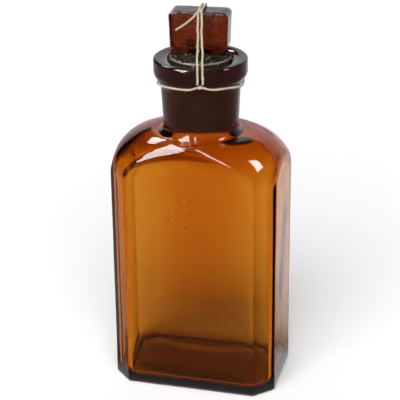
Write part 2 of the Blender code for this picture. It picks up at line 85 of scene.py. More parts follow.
SHOULDER_TOP = BODY_WALL_HEIGHT + SHOULDER_RISE
NECK_FOOT = SHOULDER_TOP + NECK_FILLET_RISE
NECK_TOP = NECK_FOOT + NECK_LENGTH
LIP_FACE_FOOT = NECK_TOP + LIP_UNDERSIDE_HEIGHT
MOUTH = LIP_FACE_FOOT + LIP_FACE_HEIGHT
LIP_RADIUS = NECK_TOP_RADIUS + LIP_OVERHANG
BORE_FOOT = NECK_FOOT + BORE_FOOT_RISE
RIGHT_ANGLE = pi / 2
EIGHTH_TURN = pi / 4
FULL_TURN = 2 * pi


# Small helpers

def steps(count):
    return [step / count for step in range(count + 1)]


def mix(start, end, share):
    return start + (end - start) * share


def fade(value, none, full):
    """0 up to one end of a range, 1 from the other end on."""
    return np.clip((value - none) / (full - none), 0, 1)


def read_off(table, place):
    """The value at a place between the rows (place, value) of a table."""
    return float(np.interp(place, *zip(*table)))


def way_along(points):
    """The way from the first point to each of the points."""
    return np.concatenate([[0], np.cumsum(np.linalg.norm(np.diff(points, axis=0), axis=1))])


def spread(points, count):
    """The line through the points cut into so many even steps."""
    length = way_along(points)
    target = np.linspace(0, length[-1], count + 1)
    return np.stack([np.interp(target, length, part) for part in points.T], 1)


def new_object(name, vertices, faces, smooth=True):
    mesh = bpy.data.meshes.new(name)
    mesh.from_pydata([tuple(v) for v in vertices], [], [tuple(f) for f in faces])
    mesh.validate()
    mesh.update()
    if smooth:
        mesh.shade_smooth()
    thing = bpy.data.objects.new(name, mesh)
    bpy.context.scene.collection.objects.link(thing)
    return thing


def add_values(thing, name, values):
    """A number for each vertex, which a material reads by this name."""
    made = thing.data.attributes.new(name, "FLOAT", "POINT")
    made.data.foreach_set("value", np.array(values, np.float32))


def skin(rings, close_start=None, close_end=None):
    """Vertices and faces between closed rings of points, with a point that closes each end."""
    count = len(rings[0])
    pairs = [(index, (index + 1) % count) for index in range(count)]
    vertices = np.concatenate(rings)
    last = len(vertices) - count
    faces = [(low + a, low + b, low + count + b, low + count + a)
             for low in range(0, last, count) for a, b in pairs]
    for tip, low, flip in ((close_start, 0, True), (close_end, last, False)):
        if tip is not None:
            centre = len(vertices)
            faces += [(low + b, low + a, centre) if flip else (low + a, low + b, centre) for a, b in pairs]
            vertices = np.concatenate([vertices, [tip]])
    return vertices, faces


def ring_at(angle, radius, height):
    """Points round the bottle's axis."""
    return np.stack([radius * np.cos(angle), radius * np.sin(angle), np.broadcast_to(height, len(angle))], 1)


def arc(centre, size, start, end, count):
    return [(centre[0] + size[0] * cos(mix(start, end, share)),
             centre[1] + size[1] * sin(mix(start, end, share))) for share in steps(count)]


# Bottle: the model's section, cut finer, with the slight waves of blown glass

BODY_SPACING = 0.0026
# Where points lie near a corner of the outline, as shares of its rounding
CORNER_STEPS = (0, 0.3, 0.6, 0.9, 1.25, 1.7, 2.3)
PUSH_UP_STEPS = (0.15, 0.3, 0.45, 0.6, 0.75, 0.87, 0.95)
FLOOR_STEPS = (0.9, 0.78, 0.64, 0.5, 0.36, 0.22, 0.1)
WALL_FACETS = 26
CREASE_TRIALS = 400
FOOT_WEAR = 0.3
NECK_WEAR = 0.005
# Radians per metre along X, Y and Z, and weight
WAVE_PARTS = ((61, 47, 23, 0.30), (-113, 89, 31, 0.22), (171, -133, 58, 0.16), (247, 211, -17, 0.13),
              (-335, 293, 11, 0.10), (40, -70, 120, 0.16), (-90, -60, 190, 0.10))
# A fade goes from none at the first height or depth to all at the second
WAVE_FADES = ((0.004, 0.016), (0.1405, 0.1305))
# Height of the waves, their seed, how deep they are sunk and their fades
WAVES = {"outer": (0.00010, 1.0, 0.00010, WAVE_FADES), "inner": (0.00022, 4.0, 0, WAVE_FADES),
         "floor": (0.00022, 9.0, 0, ((0.0068, 0.0048),))}
PANEL_HALF = 0.034
PANEL_SWELL_TOP = 0.0017
PANEL_SWELL_FOOT = 0.0013
SWELL_CHANGE = (0.125, 0.015)
SWELL_FADES = ((0.140, 0.125), (0.008, 0.028))
SWELL_DEPTH_FADE = (0.018, 0.024)


def corner_power(radius):
    """The power that rounds the outline's corners to a radius."""
    cut = radius * (1 / cos(EIGHTH_TURN / 2) - 1)
    return hypot(BODY_WIDTH, BODY_DEPTH) / 2 * log(2) / cut


WALL_POWER = corner_power(CORNER_RADIUS)
INNER_POWER = corner_power(INNER_CORNER_RADIUS)
INNER_BACK_POWER = corner_power(INNER_BACK_RADIUS)


def wall_radius(angle, inset, power):
    across = np.abs(np.cos(angle))
    along = np.abs(np.sin(angle))
    chamfer = (BODY_WIDTH / 2 + BODY_DEPTH / 2 - CORNER_CHAMFER) / sqrt(2) - inset
    nearness = np.array([across / (BODY_WIDTH / 2 - inset), along / (BODY_DEPTH / 2 - inset),
                         (across + along) / sqrt(2) / chamfer])
    largest = nearness.max(0)
    total = ((nearness / largest) ** power).sum(0)
    return total ** (-1 / power) / largest


def inner_radius(angle, inset):
    """The same for the inner wall, whose corners are rounder in front than at the back."""
    front = wall_radius(angle, inset, INNER_POWER)
    return np.where(np.sin(angle) > 0, wall_radius(angle, inset, INNER_BACK_POWER), front)


def body_angles():
    """Where points lie round the body: close together at its corners and evenly spread between them."""
    wide, deep, cut = BODY_WIDTH / 2, BODY_DEPTH / 2, CORNER_CHAMFER
    half = ((wide, deep - cut), (wide - cut, deep), (cut - wide, deep), (-wide, deep - cut))
    corners = [Vector(spot) * sign for sign in (1, -1) for spot in half]
    near = [CORNER_RADIUS * tan(EIGHTH_TURN / 2) * share for share in CORNER_STEPS]
    angles = []
    for start, end in zip(corners, corners[1:] + corners[:1]):
        length = (end - start).length
        facets = max(2, round((length - 2 * near[-1]) / BODY_SPACING))
        inner = [mix(near[-1], length - near[-1], share) for share in steps(facets)[1:-1]]
        for distance in near + inner + [length - d for d in near[:0:-1]]:
            point = start.lerp(end, distance / length)
            angles.append(atan2(point.y, point.x) % FULL_TURN)
    return np.array(sorted(angles))


def bore_radius(height):
    return BORE_MOUTH_RADIUS - BORE_TAPER * (MOUTH - height)


def vault(angle, inset):
    """The radius where the vault starts and a function that gives its height at a radius."""
    wall = WALL if inset else 0
    side, front = BODY_WIDTH / 2 + SIDE_SPREAD - wall, BODY_DEPTH / 2 + FRONT_SPREAD - wall
    plan = np.abs(np.cos(angle) / side) ** VAULT_PLAN_POWER + np.abs(np.sin(angle) / front) ** VAULT_PLAN_POWER
    foot_radius = plan ** (-1 / VAULT_PLAN_POWER)
    start = bore_radius(BORE_FOOT) + THROAT_RUN if inset else NECK_FOOT_RADIUS + NECK_FILLET_RUN
    sideways = np.cos(angle) ** 2
    run_power = mix(FRONT_RUN_POWER, SIDE_RUN_POWER, sideways)
    rise_power = mix(FRONT_RISE_POWER, SIDE_RISE_POWER, sideways)

    def height(radius):
        run = np.clip((radius - start) / (foot_radius - start), 0, 1)
        return mix(BODY_WALL_HEIGHT, SHOULDER_TOP - inset, (1 - run ** run_power) ** (1 / rise_power))

    return start, height


def shoulder_rows(angle, wall_inset, vault_inset, rounding, crease_count, vault_count):
    """Rows of (radius, height) from the wall's top over the crease to the vault's start."""
    wall = inner_radius(angle, wall_inset) if wall_inset else wall_radius(angle, 0, WALL_POWER)
    start, vault_height = vault(angle, vault_inset)
    crease = vault_height(wall)
    near = np.full_like(wall, start)
    done = np.zeros(len(wall), bool)
    for share in steps(CREASE_TRIALS):
        radius = mix(wall, start, share)
        far = np.hypot(wall - radius, vault_height(radius) - crease) >= rounding
        near = np.where(far & ~done, radius, near)
        done |= far
    low, middle, high = np.array([(wall, crease - rounding), (wall, crease), (near, vault_height(near))])
    rows = [tuple(mix(mix(low, middle, share), mix(middle, high, share), share)) for share in steps(crease_count)]
    radii = [mix(near, start, share) for share in steps(vault_count)[1:]]
    return rows + [(radius, vault_height(radius)) for radius in radii]


def rounded_corner(before, corner, after, size, count):
    corner = Vector(corner)
    start = corner + (Vector(before) - corner).normalized() * size
    end = corner + (Vector(after) - corner).normalized() * size
    return [tuple(start.lerp(corner, share).lerp(corner.lerp(end, share), share))
            for share in steps(count)]


def line_between(first, last, count):
    return [(mix(first[0], last[0], share), mix(first[1], last[1], share))
            for share in steps(count)[1:-1]]


def neck_rows():
    """Rows of (radius, height) from the vault up the neck and round the lip."""
    rows = arc((NECK_FOOT_RADIUS + NECK_FILLET_RUN, NECK_FOOT), (NECK_FILLET_RUN, NECK_FILLET_RISE),
               -RIGHT_ANGLE, -2 * RIGHT_ANGLE, 16)[1:]
    neck_top, lip_foot = (NECK_TOP_RADIUS, NECK_TOP), (LIP_RADIUS, LIP_FACE_FOOT)
    under = rounded_corner(rows[-1], neck_top, lip_foot, LIP_EDGE_RADIUS, 8)
    lower = rounded_corner(neck_top, lip_foot, (LIP_RADIUS, MOUTH), LIP_LOWER_ROUNDING, 10)
    edge = arc((LIP_RADIUS - LIP_EDGE_RADIUS, MOUTH - LIP_EDGE_RADIUS),
               (LIP_EDGE_RADIUS, LIP_EDGE_RADIUS), 0, RIGHT_ANGLE, 10)
    for part, count in ((under, 8), (lower, 5), (edge, 5)):
        rows += line_between(rows[-1], part[0], count) + part
    return rows


def bore_rows():
    """Rows of (radius, height, ground) from the mouth down to the vault's start."""
    bevelled = MOUTH - BORE_EDGE_BEVEL
    mouth = [(BORE_MOUTH_RADIUS + BORE_EDGE_BEVEL, MOUTH), (bore_radius(bevelled), bevelled)]
    throat = arc((bore_radius(BORE_FOOT) + THROAT_RUN, BORE_FOOT),
                 (THROAT_RUN, BORE_FOOT - SHOULDER_TOP + SHOULDER_WALL), 2 * RIGHT_ANGLE, 3 * RIGHT_ANGLE, 14)
    bore = line_between(mouth[1], throat[0], 16) + throat[:2]
    return [(*row, 0) for row in mouth] + [(*row, 1) for row in bore] + [(*row, 0) for row in throat[2:-1]]


def waves(points, strength, seed):
    """A slow, smooth unevenness of blown glass, larger across the body than along it."""
    x, y, z = points.T
    total = np.zeros(len(points))
    for index, (a, b, c, weight) in enumerate(WAVE_PARTS):
        turn = a * x + b * y + c * z + seed * (1.7 + index) + 0.6 * np.sin(70 * z + seed)
        total += weight * np.sin(turn)
    return total * strength


def uneven(ring, angle, zone):
    """A ring of the bottle with the waves and the swell of blown glass."""
    x, y, z = ring.T
    if zone in WAVES:
        strength, seed, sunk, fades = WAVES[zone]
        change = waves(ring, strength, seed) - sunk
        for ends in fades:
            change *= fade(z, *ends)
        for part, share in ((x, np.cos(angle)), (y, np.sin(angle))) if zone != "floor" else ((z, 1),):
            part += change * share
    if zone == "inner":
        swell = mix(PANEL_SWELL_TOP, PANEL_SWELL_FOOT, fade(z, *SWELL_CHANGE))
        swell *= np.clip(1 - (x / PANEL_HALF) ** 2, 0, 1) ** 1.5
        for ends in SWELL_FADES:
            swell *= fade(z, *ends)
        y -= np.sign(y) * swell * fade(np.abs(y), *SWELL_DEPTH_FADE)
    return ring


def make_bottle():
    angle = body_angles()
    one = np.ones_like(angle)
    rows = []

    def add(radius, height, zone, rough=0):
        rows.append((radius * one, height * one, zone, rough))

    ring_outer = wall_radius(angle, HEEL_RADIUS, WALL_POWER)
    ring_inner = wall_radius(angle, HEEL_RADIUS + FOOT_RING_WIDTH, WALL_POWER)
    for share in PUSH_UP_STEPS:
        add(ring_inner * share, PUSH_UP * (1 - share ** 4), "foot")
    for share in steps(2):
        add(mix(ring_inner, ring_outer, share), 0, "foot", FOOT_WEAR)
    heel = arc((HEEL_RADIUS, HEEL_RADIUS), (HEEL_RADIUS, HEEL_RADIUS), -RIGHT_ANGLE, -2 * RIGHT_ANGLE, 10)
    for share, (inset, height) in list(zip(steps(10), heel))[1:]:
        add(wall_radius(angle, inset, WALL_POWER), height, "foot", FOOT_WEAR * (1 - share))
    outside = shoulder_rows(angle, 0, 0, CREASE_ROUNDING, 12, 40)
    for radius, height in line_between(rows[-1], outside[0], WALL_FACETS) + outside:
        add(radius, height, "outer")
    for radius, height in neck_rows():
        add(radius, height, "neck", NECK_WEAR if height > NECK_FOOT else 0)
    for radius, height, rough in bore_rows():
        add(radius, height, "neck", rough)
    inside = shoulder_rows(angle, WALL, SHOULDER_WALL, INNER_CREASE_ROUNDING, 16, 36)[::-1]
    heel = arc((WALL + INNER_HEEL_RADIUS, FLOOR_THICKNESS + INNER_HEEL_RADIUS),
               (INNER_HEEL_RADIUS, INNER_HEEL_RADIUS), 2 * RIGHT_ANGLE, 3 * RIGHT_ANGLE, 16)
    heel = [(inner_radius(angle, inset), height) for inset, height in heel]
    for radius, height in inside + line_between(inside[-1], heel[0], WALL_FACETS):
        add(radius, height, "inner")
    for radius, height in heel:
        add(radius, height, "floor")
    for share in FLOOR_STEPS:
        add(heel[-1][0] * share, FLOOR_THICKNESS + PUSH_UP * (1 - share ** 2), "floor")
    rings = [uneven(ring_at(angle, radius, height), angle, zone) for radius, height, zone, rough in rows]
    thing = new_object("bottle_glass", *skin(rings, (0, 0, PUSH_UP), (0, 0, FLOOR_THICKNESS + PUSH_UP)))
    add_values(thing, "ground", [*np.repeat([row[3] for row in rows], len(angle)), 0, 0])
    return thing


# Stopper: ground shank, short stem and upright tablet with worn edges

STOPPER_GAP = 0.0003
SHANK_STAND = 0.0010
SHANK_FOOT_CLEARANCE = 0.0020
SHANK_FOOT_BEVEL = 0.0008
SHANK_TOP_ROUNDING = 0.0009
STEM_HEIGHT = 0.0025
STEM_HALF_WIDTH = 0.0060
STEM_HALF_DEPTH = 0.0040
TABLET_WIDTH = 0.0312
TABLET_THICKNESS = 0.0133
TABLET_HALF = TABLET_THICKNESS / 2
TABLET_HEIGHT = 0.0217
TABLET_FOOT_CHAMFER = 0.0030
TABLET_TOP_CHAMFER = 0.0019
TABLET_TAPER = 0.0006
STOPPER_TURN = radians(5.0)
SHANK_FOOT = BORE_FOOT + SHANK_FOOT_CLEARANCE
SHANK_TOP = MOUTH + SHANK_STAND
TABLET_FOOT = SHANK_TOP + STEM_HEIGHT
TABLET_TOP = TABLET_FOOT + TABLET_HEIGHT
STOPPER_POINTS = 192
STEM_FLARE = (0.0012, 0.0010)
WORN_AWAY = 0.00010
# Scale and height of the bumps on the worn tablet
WORN_BUMPS = ((160, 0.00011), (420, 0.00004))


def shank_radius(height):
    return bore_radius(height) - STOPPER_GAP


def outline(half_width, half_depth, power_x, power_y, count=STOPPER_POINTS):
    """A rounded rectangle as a squared-off oval, with its points spread along its edge."""
    turn = np.linspace(0, FULL_TURN, 2401)[:-1]
    low, high = np.zeros_like(turn), np.full_like(turn, 0.1)
    for trial in range(40):
        radius = (low + high) / 2
        total = (np.abs(radius * np.cos(turn)) / half_width) ** power_x
        total += (np.abs(radius * np.sin(turn)) / half_depth) ** power_y
        high = np.where(total > 1, radius, high)
        low = np.where(total > 1, low, radius)
    points = ring_at(turn, radius, 0)[:, :2]
    return spread(np.concatenate([points, points[:1]]), count)[:-1]


def circle(radius):
    return outline(radius, radius, 2, 2)


def shank_rows():
    """Rows of (radius, height) from the middle of the shank's foot to its upper rim."""
    foot = shank_radius(SHANK_FOOT) - SHANK_FOOT_BEVEL
    low, high = SHANK_FOOT + SHANK_FOOT_BEVEL, SHANK_TOP - SHANK_TOP_ROUNDING
    rows = [(foot * share, SHANK_FOOT) for share in (0.25, 0.5, 0.75, 0.9)]
    rows += arc((foot, low), (SHANK_FOOT_BEVEL, SHANK_FOOT_BEVEL), -RIGHT_ANGLE, 0, 6)
    for height in [mix(low, high, share) for share in steps(18)[1:]]:
        rows.append((shank_radius(height), height))
    rim = shank_radius(high) - SHANK_TOP_ROUNDING
    return rows + arc((rim, high), (SHANK_TOP_ROUNDING, SHANK_TOP_ROUNDING), 0, RIGHT_ANGLE, 6)[1:]


def tablet_rows():
    """Rows of (half width, half depth, height over the shank, squareness) from the stem to the crown."""
    wide, deep = TABLET_WIDTH / 2, TABLET_HALF
    low, crown = wide - TABLET_TAPER, STEM_HEIGHT + TABLET_HEIGHT
    cut, bevel = TABLET_FOOT_CHAMFER, TABLET_TOP_CHAMFER
    foot, top = low - cut, wide - bevel
    rows = [(STEM_HALF_WIDTH, STEM_HALF_DEPTH, STEM_HEIGHT * 0.88, 5),
            (STEM_HALF_WIDTH + 0.0004, STEM_HALF_DEPTH + 0.0003, STEM_HEIGHT * 0.98, 8),
            (foot - 0.0004, deep - 0.0002, STEM_HEIGHT, 22),
            (foot, deep, STEM_HEIGHT + 0.0002, 30),
            (foot + 0.0005, deep, STEM_HEIGHT + 0.0006, 32)]
    rows += [(foot + cut * share + 0.0001, deep, STEM_HEIGHT + cut * (share + 0.05), 34)
             for share in (0.25, 0.5, 0.75)]
    rows.append((low - 0.0002, deep, STEM_HEIGHT + cut * 1.03, 34))
    for share in steps(10)[:-1]:
        height = STEM_HEIGHT + mix(cut * 1.25, TABLET_HEIGHT - bevel, share)
        rows.append((mix(low, wide, share), deep, height, 34))
    return rows + [(wide, deep, crown - bevel * 1.15, 34),
                   (wide - 0.0002, deep, crown - bevel * 0.85, 34),
                   (wide - bevel * 0.45, deep, crown - bevel * 0.5, 34),
                   (wide - bevel * 0.75, deep - 0.0001, crown - bevel * 0.2, 32),
                   (top, deep - 0.0004, crown - 0.0001, 28),
                   (top - 0.0005, deep - 0.0008, crown, 24)]


def make_stopper():
    rings, ground = [], []
    turn = np.array([[cos(STOPPER_TURN), -sin(STOPPER_TURN)],
                     [sin(STOPPER_TURN), cos(STOPPER_TURN)]])

    def add(points, height, rough):
        rings.append(np.column_stack([points @ turn.T, np.full(len(points), height)]))
        ground.extend([rough] * len(points))

    shank = shank_rows()
    for radius, height in shank:
        add(circle(radius), height, 1)
    rim = circle(shank[-1][0])
    flare = outline(STEM_HALF_WIDTH + STEM_FLARE[0], STEM_HALF_DEPTH + STEM_FLARE[1], 3, 3)
    for share in (0.35, 0.7):
        add(mix(rim, flare, share), SHANK_TOP, 1)
    add(flare, SHANK_TOP + 0.0002, 1)
    add(outline(STEM_HALF_WIDTH, STEM_HALF_DEPTH, 3.5, 3), SHANK_TOP + 0.0009, 0)
    for wide, deep, height, power in tablet_rows():
        add(outline(wide, deep, power, power * 0.7), SHANK_TOP + height, 0)
    last = rings[-1]
    for share in (0.8, 0.55, 0.3, 0.12):
        rings.append(last * (share, share, 1))
        ground.extend([0] * STOPPER_POINTS)
    thing = new_object("stopper_glass", *skin(rings, (0, 0, SHANK_FOOT), (0, 0, TABLET_TOP)))
    for vertex in thing.data.vertices:
        if vertex.co.z > SHANK_TOP + 0.0015:
            bump = sum(noise.noise(vertex.co * scale) * height for scale, height in WORN_BUMPS)
            vertex.co -= vertex.normal * (WORN_AWAY + bump)
    add_values(thing, "ground", ground + [1, 0])
    thing.data.update()
    return thing


# Dark granular crust round the stopper's foot and along the mouth

CRUST_REACH = 0.0156
CRUST_RAGGED = 0.045
CRUST_HEIGHT = 0.0027
CRUST_EDGE_HEIGHT = 0.0006
CRUST_DROOP = 0.0005
CRUST_GRAIN = 0.0008
CRUST_UNEVEN = 0.0002
MOUTH_CRUST_WIDTH = 0.0011
MOUTH_CRUST_HEIGHT = 0.0003
MOUTH_CRUST_OVERHANG = 0.0002
CRUST_POINTS = 420
CRUST_LUMPS = 0.00085
CRUST_CRUMBS = 0.0005
# Share of the way out where the crust's edge begins to droop
CRUST_EDGE = 0.94
MOUTH_CRUST_POINTS = 460
MOUTH_CRUST_RAGGED = 0.45
MOUTH_CRUST_GRAIN = 0.0003
MOUTH_CRUST_LUMPS = 0.0006
MOUTH_CRUST_SUNK = 0.00005


def grain(spot, size):
    """Height of small lumps at a place, from 0 to 1."""
    return max(0.0, 1 - noise.voronoi(spot / size)[0][0] * 1.3)


def crust_height(flat, spot, share):
    """Height of the crust over the shank at a share of the way out from the stem."""
    height = mix(CRUST_HEIGHT, CRUST_EDGE_HEIGHT, share ** 1.6)
    height += CRUST_UNEVEN * noise.noise(Vector((spot.x, spot.y, 0.3)) * 420)
    height += CRUST_GRAIN * (grain(spot, CRUST_LUMPS) + 0.5 * grain(spot + Vector((1, 2, 3)), CRUST_CRUMBS) - 0.5)
    if abs(flat[0]) < TABLET_WIDTH / 2 - TABLET_FOOT_CHAMFER and abs(flat[1]) < TABLET_HALF:
        height = min(height, STEM_HEIGHT - 0.0001)
    if share > CRUST_EDGE:
        height = mix(height, -CRUST_DROOP, ((share - CRUST_EDGE) / (1 - CRUST_EDGE)) ** 2)
    return height


def make_crust():
    turn = Matrix.Rotation(STOPPER_TURN, 3, "Z")
    inner = outline(STEM_HALF_WIDTH - 0.0004, STEM_HALF_DEPTH - 0.0004, 3.5, 3, CRUST_POINTS)
    outer = [point * (1 + CRUST_RAGGED * noise.noise(Vector((*point, 0.0)) * 350))
             for point in outline(CRUST_REACH, CRUST_REACH, 2, 2, CRUST_POINTS)]
    rings = []
    for share in steps(34):
        ring = []
        for flat in [mix(start, end, share) for start, end in zip(inner, outer)]:
            spot = turn @ Vector((*flat, 0))
            ring.append((spot.x, spot.y, SHANK_TOP + crust_height(flat, spot, share)))
        rings.append(np.array(ring))
    return new_object("stopper_crust", *skin(rings))


def make_mouth_crust():
    rings = []
    for share in steps(12):
        ring = []
        bulge = sin(pi * min(1, share * 0.93 + 0.07)) ** 0.6 if share < 1 else 0
        for turn in [FULL_TURN * index / MOUTH_CRUST_POINTS for index in range(MOUTH_CRUST_POINTS)]:
            flat = Vector((cos(turn), sin(turn), 0))
            ragged = noise.noise(flat * 6.3) + 0.6 * noise.noise(flat * 17)
            width = MOUTH_CRUST_WIDTH * (1 + MOUTH_CRUST_RAGGED * ragged)
            spot = flat * (BORE_MOUTH_RADIUS - MOUTH_CRUST_OVERHANG + width * share)
            height = (MOUTH_CRUST_HEIGHT + MOUTH_CRUST_GRAIN * grain(spot, MOUTH_CRUST_LUMPS)) * bulge
            ring.append((spot.x, spot.y, MOUTH - MOUTH_CRUST_SUNK + height))
        rings.append(np.array(ring))
    return new_object("mouth_crust", *skin(rings))


# String: twisted from two plies, along the model's routes

STRING_DIAMETER = 0.0012
STRING_RADIUS = STRING_DIAMETER / 2
STRING_GAP = 0.0003
STRING_REACH = STRING_RADIUS + STRING_GAP
FRONT_TURN = radians(14.0)
BACK_TURN = radians(177.0)
LOOP_SIDE_LIFT = 0.0004
LOOP_KNOT_LIFT = 0.0040
LOOP_PEAK = 0.0020
LOOP_PEAK_SPREAD = radians(9.0)
NECK_KNOT_WIDTH = 0.0030
NECK_KNOT_HEIGHT = 0.0022
STRAND_GAP_AT_LIP = 0.0027
STRAND_GAP_ON_TOP = 0.0016
TOP_KNOT_WIDTH = 0.0036
TOP_KNOT_HEIGHT = 0.0024
TAIL_REACH = 0.0165
TAIL_SHARES = ((0.09, 0.13), (0.24, 0.28), (0.45, 0.45), (0.70, 0.62))
PLY_TURN_LENGTH = 0.0032
SWAY = 0.00013
BEAD_SHARE = 0.32
BEAD_SIZE = (0.00045, 0.00045, 0.0008)
STRING_SPACING = 0.00028
KNOT_SPACING = 0.00022
HAIR_REACH = 0.0011
HAIR_RADII = (0.000035, 0.000012)
TAIL_THREADS = 16
THREAD_RADII = (0.00013, 0.00005)


def outer_radius(height):
    radii, heights = zip((NECK_FOOT_RADIUS + NECK_FILLET_RUN, SHOULDER_TOP), *neck_rows())
    return np.interp(height, heights, radii)


def resting_radius(height):
    """How far from the axis the middle of a string lies that rests on the glass."""
    offsets = [STRING_REACH * (2 * share - 1) for share in steps(16)]
    return max(outer_radius(height + offset) + sqrt(STRING_REACH ** 2 - offset ** 2)
               for offset in offsets if height + offset <= MOUTH)


def around(turn, radius, height):
    return Vector((radius * sin(turn), -radius * cos(turn), height))


def beside(turn, radius, sideways, height):
    return around(turn, radius, height) + Vector((cos(turn), sin(turn), 0)) * sideways


def loop_height(turn):
    from_front = (turn - FRONT_TURN) % FULL_TURN
    span = (BACK_TURN - FRONT_TURN) % FULL_TURN
    share = from_front / span
    if from_front > span:
        share = (FULL_TURN - from_front) / (FULL_TURN - span)
    pull = abs(cos(share * pi))
    lift = mix(LOOP_SIDE_LIFT, LOOP_KNOT_LIFT, pull * pull * (3 - 2 * pull))
    nearest = min(from_front, FULL_TURN - from_front, abs(from_front - span))
    return NECK_TOP + lift + LOOP_PEAK * exp(-(nearest / LOOP_PEAK_SPREAD) ** 2)


def smooth_route(points, spacing, closed=False):
    """Evenly spaced points on a smooth curve through the given ones."""
    points = [Vector(point) for point in points]
    total = len(points)
    line = []
    for index in range(total if closed else total - 1):
        before, start, end, after = [points[near % total if closed else min(max(near, 0), total - 1)]
                                     for near in range(index - 1, index + 3)]
        for share in steps(16)[:-1]:
            square = share * share
            cube = square * share
            line.append(start * (2 * cube - 3 * square + 1) + end * (3 * square - 2 * cube)
                        + (end - before) * ((cube - 2 * square + share) / 2)
                        + (after - start) * ((cube - square) / 2))
    line.append(points[0] if closed else points[-1])
    line = np.array([tuple(point) for point in line])
    even = spread(line, max(4, round(way_along(line)[-1] / spacing)))
    return even[:-1] if closed else even


def frames(route, closed):
    """Two directions square to the route at each point, carried along without twisting."""
    along = np.roll(route, -1, 0) - np.roll(route, 1, 0) if closed else np.gradient(route, axis=0)
    along /= np.linalg.norm(along, axis=1)[:, None]
    first = np.cross(along[0], (0.3, 0.2, 0.9))
    first /= np.linalg.norm(first)
    sides = [first]
    for index in range(1, len(route)):
        side = sides[-1] - along[index] * (sides[-1] @ along[index])
        sides.append(side / np.linalg.norm(side))
    side = np.array(sides)
    return along, side, np.cross(along, side)


def tube(route, radius, closed, count):
    """Vertices and faces of a round tube. The radius may change along it."""
    along, side, other = frames(route, closed)
    angle = FULL_TURN * np.arange(count) / count
    rings = [centre + size * (np.outer(np.cos(angle), first) + np.outer(np.sin(angle), second))
             for centre, size, first, second in zip(route, np.broadcast_to(radius, len(route)), side, other)]
    if not closed:
        return skin(rings, route[0], route[-1])
    vertices, faces = skin(rings)
    gaps = [np.linalg.norm(rings[0] - np.roll(rings[-1], -shift, 0), axis=1).sum() for shift in range(count)]
    shift = int(np.argmin(gaps))
    low = len(vertices) - count
    for index in range(count):
        follow = (index + 1) % count
        faces.append((low + index, low + follow, (follow - shift) % count, (index - shift) % count))
    return vertices, faces


def gather(name, parts):
    """One mesh of many parts."""
    vertices, faces, count = [], [], 0
    for spots, sides in parts:
        vertices.append(np.asarray(spots, float))
        faces += [tuple(int(i) + count for i in side) for side in sides]
        count += len(spots)
    return new_object(name, np.concatenate(vertices), faces)


def twist(route, closed, thickness=1.0, phase=0.0):
    """Two plies wound round each other along a route."""
    along, side, other = frames(route, closed)
    length = way_along(route)
    turns = length / PLY_TURN_LENGTH
    if closed:
        whole = length[-1] + np.linalg.norm(route[0] - route[-1])
        carried = atan2(side[-1] @ other[0], side[-1] @ side[0])
        turns = length / whole * (round(whole / PLY_TURN_LENGTH) - carried / FULL_TURN)
    plies = []
    for ply in range(2):
        angle = FULL_TURN * turns + ply * pi + phase
        swell = 1 + 0.06 * np.sin(length * 2100 + ply * 2) + 0.05 * np.sin(length * 740 + ply)
        offset = STRING_RADIUS * 0.46 * thickness
        centre = route + offset * (np.cos(angle)[:, None] * side + np.sin(angle)[:, None] * other)
        plies.append(tube(centre, STRING_RADIUS * 0.56 * thickness * swell, closed, 8))
    return plies


def fibres(route, count, seed):
    """Short loose hairs that stand off the string."""
    random = np.random.default_rng(seed)
    along, side, other = frames(route, False)
    hairs = []
    for number in range(count):
        index = int(random.integers(1, len(route) - 1))
        angle = random.uniform(0, FULL_TURN)
        out = cos(angle) * side[index] + sin(angle) * other[index]
        drift = along[index] * random.uniform(-1, 1)
        size = HAIR_REACH * random.uniform(0.35, 1.0)
        start = route[index] + out * STRING_RADIUS * 0.7
        middle = start + (out * 0.5 + drift * 0.5) * size * 0.6
        end = middle + (out * random.uniform(-0.1, 0.6) + drift * 0.9) * size * 0.6
        path = smooth_route([start, middle, end], size / 5)
        hairs.append(tube(path, np.linspace(*HAIR_RADII, len(path)), False, 3))
    return hairs


def knot(place, size, turn, thickness, lobes=3, phase=0.0):
    """The plies of a closed overhand knot, flattened and turned to face outwards."""
    points = []
    for angle in [FULL_TURN * share for share in steps(48)[:-1]]:
        radius = 0.62 + 0.38 * cos(lobes * angle + phase)
        spot = Vector((radius * cos(2 * angle) * size[0],
                       sin(lobes * angle + phase) * size[1] * 0.6,
                       radius * sin(2 * angle) * size[2]))
        points.append(Matrix.Rotation(turn, 3, "Z") @ spot + Vector(place))
    return twist(smooth_route(points, KNOT_SPACING, True), True, thickness)


def neck_loop():
    points = []
    for turn in [FRONT_TURN + FULL_TURN * share for share in steps(96)[:-1]]:
        height = loop_height(turn)
        points.append(around(turn, resting_radius(height), height))
    route = smooth_route(points, STRING_SPACING, True)
    parts = twist(route, True) + fibres(route, 90, 5)
    depth = NECK_KNOT_HEIGHT / 2
    inner = (NECK_KNOT_WIDTH / 2 - STRING_RADIUS, depth - STRING_RADIUS * 0.8, depth - STRING_RADIUS * 0.8)
    for turn in (FRONT_TURN, BACK_TURN):
        height = loop_height(turn)
        place = around(turn, resting_radius(height) + depth - STRING_RADIUS, height)
        parts += knot(place, inner, turn, 0.85)
    return gather("neck_loop", parts)


def tablet_reach(turn):
    return (TABLET_HALF + STRING_REACH) / abs(cos(turn - STOPPER_TURN))


